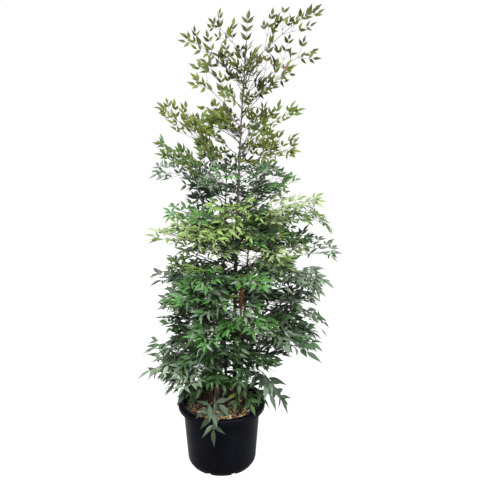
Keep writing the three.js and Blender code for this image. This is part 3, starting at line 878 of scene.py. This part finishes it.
# By the cane and the spray's number: how large its leaves are, and how many leaves stand next to it.
LARGE_LEAVES = {
    "left": {1: 1.2}, "side": {1: 1.15, 2: 1.4, 3: 1.25, 7: 1.15}, "outer": {1: 1.35, 2: 1.55, 4: 1.2},
    "front_left": {1: 1.4},
}
BARE_BELOW = "front_left_spray_1"
SPARSE_SPRAYS = {
    "tall": {1: 2, 2: 1, 3: 6, 4: 1, 5: 0, 7: 1, 9: 1}, "left": {1: 2, 2: 3, 5: 1, 6: 1, 7: 1},
    "side": {1: 1, 2: 4}, "outer": {1: 1, 2: 2, 3: 4, 4: 3}, "front_right": {1: 3},
}
OPEN_ABOVE = 1.3
LOWEST_LIFT = -200
main_stalks = {}
for c, (name, _, tip, *_, first, sprays) in enumerate(CANES):
    for index, (bearing, reach, lift, tint) in enumerate(sprays):
        roll = dice(c * SEEDS_PER_CANE + index + 1)
        height = lerp(first, tip[2], index / (len(sprays) - 1)) / 1000
        spray = f"{name}_spray_{index + 1}"
        main_stalks[spray] = grow_leaf(
            tint, cane_point(name, height), bearing, reach / 1000, lift / 1000, roll, height < OPEN_ABOVE,
            lost=float(spray == BARE_BELOW), large=LARGE_LEAVES.get(name, {}).get(index + 1, 1.0))
        more = [count for above, count in COMPANIONS if height >= above][-1] if lift > LOWEST_LIFT else 0
        more = SPARSE_SPRAYS.get(name, {}).get(index + 1, min(more, SPARSE_CANES.get(name, more)))
        for k in range(more):
            base = cane_point(name, min(height + roll(-0.035, 0.03), tip[2] / 1000 - 0.004))
            if height > OPEN_ABOVE:
                grow_leaf(tint, base, bearing + (-1) ** (k + index) * roll(25, 80),
                          reach / 1000 * roll(0.60, 0.90), lift / 1000 * roll(0.8, 1.2), roll, False)
            else:
                grow_leaf(tint, base, bearing + (-1) ** k * roll(18, 62),
                          reach / 1000 * roll(0.55, 0.88), lift / 1000 + roll(-0.05, 0.04), roll,
                          extra_roll=roll(-18, 18), lost=0.3, arch=FLAT_ARCH)

# Every joint between the sprays holds a smaller leaf, each turned on from the last.
JOINT_TURN = 137.5
JOINTS_TO = 1.68
JOINTS_FROM = {"tall": 0.98, "left": 0.72, "side": 0.42, "right": 0.62, "outer": 0.44,
               "front_left": 0.46, "front_right": 0.46, "back": 0.40}
for c, (name, _, tip, *_, first, sprays) in enumerate(CANES):
    roll = dice(SEEDS + c * SEEDS_PER_CANE)
    height, bearing = JOINTS_FROM[name], roll(0, 360)
    while height < min(tip[2] / 1000 - 0.03, JOINTS_TO):
        index = (height * 1000 - first) / (tip[2] - first) * (len(sprays) - 1)
        tint = sprays[min(max(round(index), 0), len(sprays) - 1)][3]
        openness = by_height(OPENNESS, height)
        share = roll(lerp(0.75, 0.6, openness), lerp(1.25, 1.1, openness))
        reach = by_height(JOINT_REACHES, height) * share
        grow_leaf(TINTS[tint][2] if openness < 0.5 else tint, cane_point(name, height), bearing, reach,
                  reach * (lerp(0.05, 0.7, openness) + roll(-0.15, 0.3)), roll, lost=0.2, arch=FLAT_ARCH)
        height += by_height(JOINT_STEPS, height) * roll(0.7, 1.3)
        bearing += JOINT_TURN + roll(-15, 15)

# Single leaves between the sprays: cane, tint, height, bearing, reach, lift, and how large the
# leaf is. A row that names no cane or tint has the last row's.
# The rows in the "shade" tint, near a metre up, darken a gap in the crown: painted shade.
EXTRA_LEAVES = """
tall olive 1620 -66 130 145, 1500 -26 225 205, left green 1180 -160 285 195, bright 960 -146 270 60,
1020 -155 250 60, 1000 -120 200 10, 1010 -140 185 20, 990 -165 200 20, tall lime 1150 -80 190 10,
olive 1440 195 180 120, 1600 -60 100 110, 1510 -40 110 100, bronze 1700 170 40 70, 1690 5 44 66,
1655 200 56 84, 1640 -50 50 76, 1715 -80 30 56, olive 1400 172 150 110, 1420 -150 150 80,
left pale 930 -150 225 40, tall lime 1130 -125 200 30, 1110 -95 200 20, 1100 -60 210 20,
pale 1020 -34 240 95, outer sage 860 -9 265 -35, 800 -14 275 10, 760 -5 270 -10, blue 720 -17 310 -98,
deep 660 -27 245 23, slate 460 -34 200 -175 1.45, 440 -56 205 -105 1.45, side blue 500 -150 230 -50 1.2,
outer 700 0 270 30, 740 -25 240 0, sage 840 -16 262 -40, side blue 430 175 215 -70 1.2,
470 -165 235 -60 1.2, front_left forest 440 -70 120 -30, 470 -120 130 -45, 500 -95 145 -55,
front_right 430 -120 130 -40, 480 -90 150 -60, 420 -75 120 -30, side 440 -60 150 -30, 480 -80 140 -40,
blue 400 165 190 -95 1.2, 385 190 145 -110 1.1, 800 172 235 0, outer sage 830 -4 280 -60,
tall shade 1020 -50 230 30, right 970 -60 190 20, tall 1010 -20 240 0, 1000 -78 180 20,
front_right mid 760 -59 155 24, 730 -83 177 17, front_left 780 -72 180 16, blue 760 -84 134 -5,
side 450 -157 283 -11 1.3, 440 -178 242 -25 1.3, 410 -155 205 -51 1.2, outer slate 450 -38 177 -108 1.45,
tall bronze 1630 -86 119 159, olive 1550 -59 138 141, 1560 -81 160 146, 1420 -141 185 53, 1400 170 185 87,
left 1270 -150 158 174, tall 1420 -120 181 73, front_left forest 440 -102 167 8 1.2,
deep 420 -120 156 -20 1.2, forest 460 -87 173 6 1.1, side sage 470 -154 205 -65 1.25,
outer slate 440 -54 160 -68 1.35, left bright 1000 -118 307 64, lime 990 -105 322 88, 1000 -96 313 66,
bright 980 -113 294 64, outer slate 580 -30 303 8 1.5, right lime 880 -55 288 40, fresh 870 -68 297 76,
lime 900 -62 290 63, front_left fresh 860 -127 158 106, 860 -104 181 103, mid 830 -137 159 73,
850 -88 187 116, forest 430 -140 150 -105 1.15, front_right 390 -30 150 -70 1.15, outer 600 -22 310 -30 1.3,
blue 620 -12 285 -30 1.2, side 420 176 190 -75 1.15, 400 -172 165 -80 1.1, outer deep 640 -12 290 -40,
forest 450 -130 150 -30
"""
for index, row in enumerate(EXTRA_LEAVES.split(",")):
    words = row.split()
    name = words.pop(0) if words[0] in cane_curves else name
    tint = words.pop(0) if words[0] in TINTS else tint
    height, bearing, reach, lift, large = [float(n) for n in [*words, "1"][:5]]
    roll = dice(2 * SEEDS + index)
    grow_leaf(tint, cane_point(name, height / 1000), bearing, reach / 1000, lift / 1000, roll,
              height / 1000 < OPEN_ABOVE, lost=0.2, large=large)

# Upright shoots on the tall cane's topmost leaves: spray, place along it, bearing, reach, lift.
SHOOTS = [
    (15, 0.34, -32, 37, 122), (15, 0.62, -112, 22, 54), (15, 0.72, -80, 20, 48), (15, 0.85, -74, 14, 34),
    (13, 0.45, -152, 30, 70), (13, 0.62, -100, 22, 50), (14, 0.4, -60, 24, 60), (16, 0.45, -40, 24, 56),
    (14, 0.26, 175, 34, 52), (14, 0.52, 185, 32, 48), (14, 0.66, -150, 26, 44), (12, 0.5, 170, 30, 50),
    (11, 0.55, 190, 30, 44), (16, 0.65, 150, 20, 44),
]
for index, (spray, share, bearing, reach, lift) in enumerate(SHOOTS):
    grow_leaf("bronze", curve_point(main_stalks[f"tall_spray_{spray}"], share), bearing, reach / 1000,
              lift / 1000, dice(3 * SEEDS + index), False)

# Old stalks that have dropped their leaflets.
BARE_STALKS = 150
BARE_STEPS = 7
BARE_FROM, BARE_TO = 0.42, 1.02
BARE_REACH = (0.05, 0.15)
roll = dice(4 * SEEDS)
for index in range(BARE_STALKS):
    name, _, cane_tip, *_ = CANES[index % len(CANES)]
    base = cane_point(name, roll(BARE_FROM, min(BARE_TO, cane_tip[2] / 1000 - 0.05)))
    way, reach = outward(radians(roll(0, 360))), roll(*BARE_REACH)
    tip = base + (way + UP * roll(-0.2, 0.9)) * reach
    middle = (base + tip) / 2 + UP * reach * roll(0.05, 0.25)
    run = [curve_point([base, middle, tip], i / BARE_STEPS) for i in range(BARE_STEPS + 1)]
    if in_box(tip) and all(clear_of_pot(point) for point in run):
        stalks["stalks_dry"].append((run, [lerp(0.0013, STALK_TIP, i / BARE_STEPS)
                                           for i in range(BARE_STEPS + 1)]))

# A few leaflets that have turned before they drop: the one nearest to each place changes tint.
TURNED_LEAFLETS = [((0.24, -0.06, 1.72), "russet"), ((0.04, -0.12, 0.37), "yellow")]
for place, turned_tint in TURNED_LEAFLETS:
    _, tint, k = min((float(np.linalg.norm(entry[0] + entry[1] * entry[3] / 2 - place)), tint, k)
                     for tint, entries in leaflets.items() for k, entry in enumerate(entries))
    leaflets[turned_tint].append(leaflets[tint].pop(k))

# Leaflet blade: stations along it, each with its share of the width; a keeled lens in section.
BLADE_STATIONS = np.array([0.08, 0.23, 0.41, 0.63, 0.84])
BLADE_WIDTHS = np.array([0.48, 0.92, 0.97, 0.61, 0.21])
BLADE_THICKNESS = 0.00045


def blade_faces():
    """Faces of one blade: two above, then two below, from station to station."""
    faces = []
    tip = 4 * len(BLADE_STATIONS) + 1
    for a in range(1, tip, 4):
        left, right, top, under = range(a, a + 4)
        if a == 1:
            faces += [(0, left, top), (0, top, right), (0, under, left), (0, right, under)]
        if a + 4 == tip:
            faces += [(left, tip, top), (top, tip, right), (under, tip, left), (right, tip, under)]
        else:
            faces += [(left, left + 4, top + 4, top), (top, top + 4, right + 4, right),
                      (under, under + 4, left + 4, left), (right, right + 4, under + 4, under)]
    return faces


def build_blades(entries):
    """Vertices, faces, slots and pattern places of many leaflets."""
    root, heading, normal = (np.array([e[i] for e in entries]) for i in range(3))
    length, width, droop, fold, shade = (np.array([e[i] for e in entries]) for i in range(3, 8))
    across = np.cross(normal, heading)

    def place(along, side, raised):
        bend = droop * along
        ahead = length * np.sin(bend) / droop
        down = length * (1 - np.cos(bend)) / droop
        rise = raised - down
        return root + heading * ahead[:, None] + across * side[:, None] + normal * rise[:, None]

    zero = np.zeros(len(entries))
    columns = [(zero, zero, zero, 0.0, 0.0)]
    for t, w in zip(BLADE_STATIONS, BLADE_WIDTHS):
        half = width / 2 * w
        side, lift = half * np.cos(fold), half * np.sin(fold)
        along = zero + t
        columns += [(along, -side, lift, -1.0, t), (along, side, lift, 1.0, t),
                    (along, zero, zero + BLADE_THICKNESS * 0.4, 0.0, t),
                    (along, zero, zero - BLADE_THICKNESS * 0.6, 0.0, t)]
    columns.append((zero + 1, zero, zero, 0.0, 1.0))
    verts = np.stack([place(a, s, r) for a, s, r, _, _ in columns], axis=1)
    pattern = np.zeros_like(verts)
    for i, (_, _, _, u, v) in enumerate(columns):
        pattern[:, i] = np.stack([zero + u, zero + v, shade], axis=1)
    one_faces, count = blade_faces(), len(columns)
    faces = [tuple(count * i + v for v in face) for i in range(len(entries)) for face in one_faces]
    return verts.reshape(-1, 3), faces, [0, 0, 1, 1] * (len(faces) // 4), pattern.reshape(-1, 3)


# The blade's pattern: a midrib, side veins that slope to the tip, and a shade for each leaflet.
VEIN_SLOPE = -0.16
VEIN_CLOSENESS = 60.0
veins, given = new_group("leaf_veins", {"Rib Width": 0.10}, ["Rib", "Veins", "Shade"])
blade_place = add_node(veins, "ShaderNodeAttribute", {}, attribute_name="blade")
across, along, tone = add_node(veins, "ShaderNodeSeparateXYZ", {"Vector": blade_place["Vector"]})
off_middle = add_node(veins, "ShaderNodeMath", {0: across}, operation="ABSOLUTE")["Value"]
rib = add_node(veins, "ShaderNodeMapRange",
               {"Value": off_middle, "From Max": given["Rib Width"], "To Min": 1.0, "To Max": 0.0})
slope = add_node(veins, "ShaderNodeMath", {0: off_middle, 1: VEIN_SLOPE, 2: along}, operation="MULTIPLY_ADD")
ripple = add_node(veins, "ShaderNodeMath", {0: slope["Value"], 1: VEIN_CLOSENESS}, operation="MULTIPLY")
wave = add_node(veins, "ShaderNodeMath", {0: ripple["Value"]}, operation="SINE")
add_node(veins, "NodeGroupOutput", {"Rib": rib["Result"], "Veins": wave["Value"], "Shade": tone})


def leaf_material(name, dark, light, roughness, rib_tone, specular):
    material, tree = new_material(name, roughness, specular)
    blade = add_node(tree, "ShaderNodeGroup", {}, node_tree=veins)
    blotches = add_range(tree, add_patches(tree, 14.0, 1.0, 0.4, 0.65), 0.0, 0.35)
    toned = add_mix(tree, blade["Shade"], paint(dark), paint(light))
    blotched = add_mix(tree, blotches, toned, paint(dark))
    ribbed = add_mix(tree, add_range(tree, blade["Rib"], 0.0, 0.4), blotched, paint(rib_tone))
    shade(tree, {"Base Color": ribbed, "Normal": add_bump(tree, blade["Veins"], 0.25, 0.0003)})
    return material


MOST_IN_A_PIECE = 4800
spray_nodes = {tint: [] for tint in TINTS}
for name, *_, sprays in CANES:
    for i, (*_, tint) in enumerate(sprays):
        spray_nodes[tint].append(f"{name}_spray_{i + 1}")
for tint, (dark, light, _, _, specular) in TINTS.items():
    upper_side = leaf_material(f"leaflets_{tint}_upper", dark, light, 0.42, light, specular)
    under_side = leaf_material(f"leaflets_{tint}_under", light, light, 0.6, dark, specular)
    parts = ceil(len(leaflets[tint]) / MOST_IN_A_PIECE)
    for k in range(parts):
        verts, faces, slots, pattern = build_blades(leaflets[tint][k::parts])
        piece = new_piece(f"leaflets_{tint}_{k + 1}", verts, faces, [upper_side, under_side], slots, sharp=50)
        layer = piece.data.attributes.new("blade", "FLOAT_VECTOR", "POINT")
        layer.data.foreach_set("vector", pattern.astype(np.float32).ravel())
        if k == 0 and spray_nodes[tint]:
            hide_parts(*spray_nodes[tint])
        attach(piece, "root")

# Stalks: five-sided tubes, swollen a little at the foot.
STALK_SIDES = 5
STALK_FOOT = 1.35
STALK_TONES = {"stalks_maroon": ("201a1d", "3a3135"), "stalks_green": ("20230f", "3c4023"),
               "stalks_dry": ("2a1d14", "5a4632")}
for name, runs in stalks.items():
    material = patchy_material(name, 0.5, 0.4, STALK_TONES[name], (60.0, 1.0, 0.4, 0.6),
                               (900.0, 0.2, 0.3, 0.7), 0.2, 0.0004)
    verts, faces = [], []
    for points, radii in runs:
        faces += tube_faces(len(verts), len(points), STALK_SIDES)
        last = len(points) - 1
        for k, point in enumerate(points):
            along = unit(points[min(k + 1, last)] - points[max(k - 1, 0)])
            side = unit(np.cross(along, (0.13, 0.21, 1.0)))
            above = np.cross(along, side)
            radius = radii[k] * (STALK_FOOT if k == 0 else 1.0)
            for s in range(STALK_SIDES):
                a = 2 * pi * s / STALK_SIDES
                verts.append(tuple(point + (side * cos(a) + above * sin(a)) * radius))
    piece = new_piece(name, verts, faces, [material], sharp=80)
    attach(piece, "root")


# --------------------
# The studio: a pale floor, one large soft light high on the left, a weaker one on the right, and an
# even pale surround.

floor_material, tree = new_material("pale_floor", 0.9, 0.2)
shade(tree, {"Base Color": (0.12, 0.12, 0.12, 1), "Emission Color": (1, 1, 1, 1), "Emission Strength": 0.82})
floor = new_piece("floor", [(-9, -9, 0), (9, -9, 0), (9, 9, 0), (-9, 9, 0)], [(0, 1, 2, 3)], [floor_material])


def soft_light(name, place, aim, size, power):
    data = bpy.data.lights.new(name, "AREA")
    data.shape = "DISK"
    data.size = size
    data.energy = power
    light = new_object(name, data)
    light.location = place
    light.rotation_euler = (Vector(aim) - Vector(place)).to_track_quat("-Z", "Y").to_euler()


soft_light("key_light", (-1.1, -2.6, 4.4), (0.08, 0, 0.9), 2.2, 1200)
soft_light("fill_light", (2.8, -2.4, 2.8), (0.08, 0, 0.9), 2.6, 420)

world = bpy.data.worlds.new("studio")
world.use_nodes = True
fill(world.node_tree, world.node_tree.nodes["Background"], {"Color": (1, 1, 1, 1), "Strength": 1.0})
bpy.context.scene.world = world
bpy.context.scene.view_settings.view_transform = "Standard"

CAMERA_PLACE = (0.080, -2.708, 1.785)
CAMERA_PITCH = 74.01
CAMERA_LENS = 52.02
camera_data = bpy.data.cameras.new("camera")
camera_data.sensor_width = 36.0
camera_data.lens = CAMERA_LENS
camera = new_object("camera", camera_data)
camera.location = CAMERA_PLACE
camera.rotation_euler = (radians(CAMERA_PITCH), 0, 0)
bpy.context.scene.camera = camera
